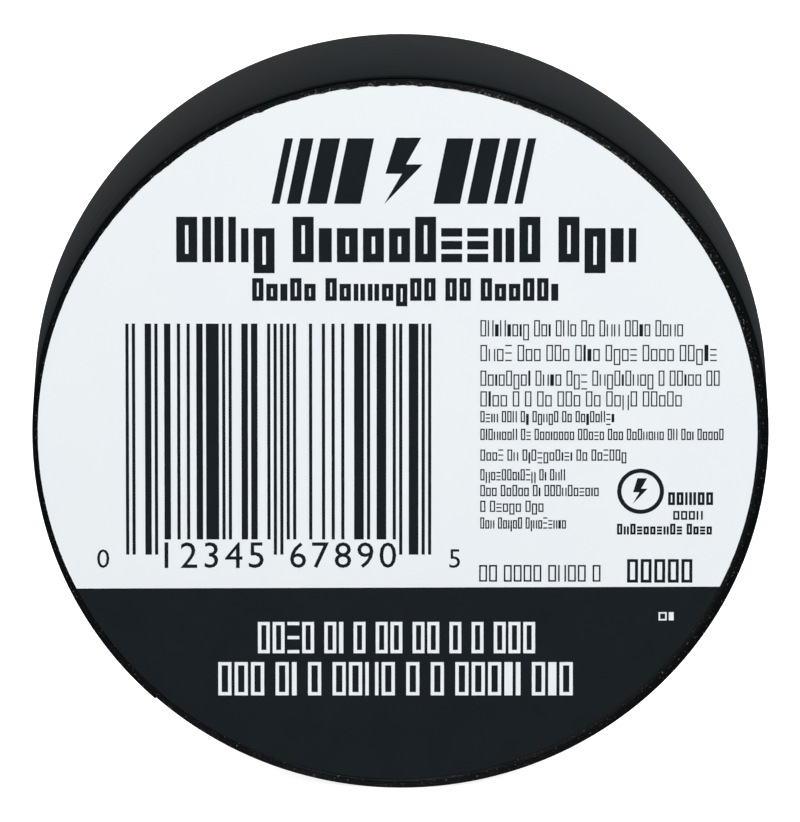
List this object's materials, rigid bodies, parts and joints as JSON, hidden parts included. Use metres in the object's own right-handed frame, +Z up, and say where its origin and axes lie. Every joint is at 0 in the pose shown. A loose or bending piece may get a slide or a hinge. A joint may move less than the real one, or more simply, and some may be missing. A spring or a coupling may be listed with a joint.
{
  "type": "electrical tape roll",
  "caption": "Roll of black vinyl electrical tape on a plastic core, with a printed paper label over its front face, a free end that peels off and a label that peels open.",
  "frame": {"origin": "centre of the core's bore, at the middle of the tape's width", "axes": "+Y along the bore's axis and out of its open back end, so the label faces -Y; +Z up with the roll standing on its rim as the print on its label reads; +X to the right of the label"},
  "size_m": [0.0722, 0.0181, 0.0721],
  "materials": {
    "core_plastic": "satin",
    "tape_vinyl": "satin",
    "label_paper": "satin"
  },
  "bodies": {
    "roll": {"core": "core_plastic", "tape_winding": "tape_vinyl", "label_edge": "label_paper"},
    "tape_end_1": {"tape_end_1": "tape_vinyl"},
    "tape_end_2": {"tape_end_2": "tape_vinyl"},
    "tape_end_3": {"tape_end_3": "tape_vinyl"},
    "tape_end_4": {"tape_end_4": "tape_vinyl"},
    "tape_end_5": {"tape_end_5": "tape_vinyl"},
    "tape_end_6": {"tape_end_6": "tape_vinyl"},
    "label": {"label": "label_paper"}
  },
  "joints": [
    {"name": "tape_peel", "type": "hinge", "parent": "roll", "child": "tape_end_1", "pos_m": [-0.03126, 0, 0.01805], "axis": [0, 1, 0], "range_deg": [0, 90]},
    {"name": "tape_uncurl_2", "type": "hinge", "parent": "tape_end_1", "child": "tape_end_2", "pos_m": [-0.03452, 0, 0.01055], "axis": [0, 1, 0], "range_deg": [0, 13]},
    {"name": "tape_uncurl_3", "type": "hinge", "parent": "tape_end_2", "child": "tape_end_3", "pos_m": [-0.03601, 0, 0.00252], "axis": [0, 1, 0], "range_deg": [0, 13]},
    {"name": "tape_uncurl_4", "type": "hinge", "parent": "tape_end_3", "child": "tape_end_4", "pos_m": [-0.03565, 0, -0.00565], "axis": [0, 1, 0], "range_deg": [0, 13]},
    {"name": "tape_uncurl_5", "type": "hinge", "parent": "tape_end_4", "child": "tape_end_5", "pos_m": [-0.03347, 0, -0.01352], "axis": [0, 1, 0], "range_deg": [0, 13]},
    {"name": "tape_uncurl_6", "type": "hinge", "parent": "tape_end_5", "child": "tape_end_6", "pos_m": [-0.02957, 0, -0.0207], "axis": [0, 1, 0], "range_deg": [0, 13]},
    {"name": "label_peel", "type": "hinge", "parent": "roll", "child": "label", "pos_m": [0.03001, -0.0091, 0.00028], "axis": [0, 0, 1], "range_deg": [0, 120]}
  ],
  "couplings": [
    {"joint": "tape_uncurl_2", "follows": "tape_peel", "ratio": 0.14444},
    {"joint": "tape_uncurl_3", "follows": "tape_peel", "ratio": 0.14444},
    {"joint": "tape_uncurl_4", "follows": "tape_peel", "ratio": 0.14444},
    {"joint": "tape_uncurl_5", "follows": "tape_peel", "ratio": 0.14444},
    {"joint": "tape_uncurl_6", "follows": "tape_peel", "ratio": 0.14444}
  ]
}
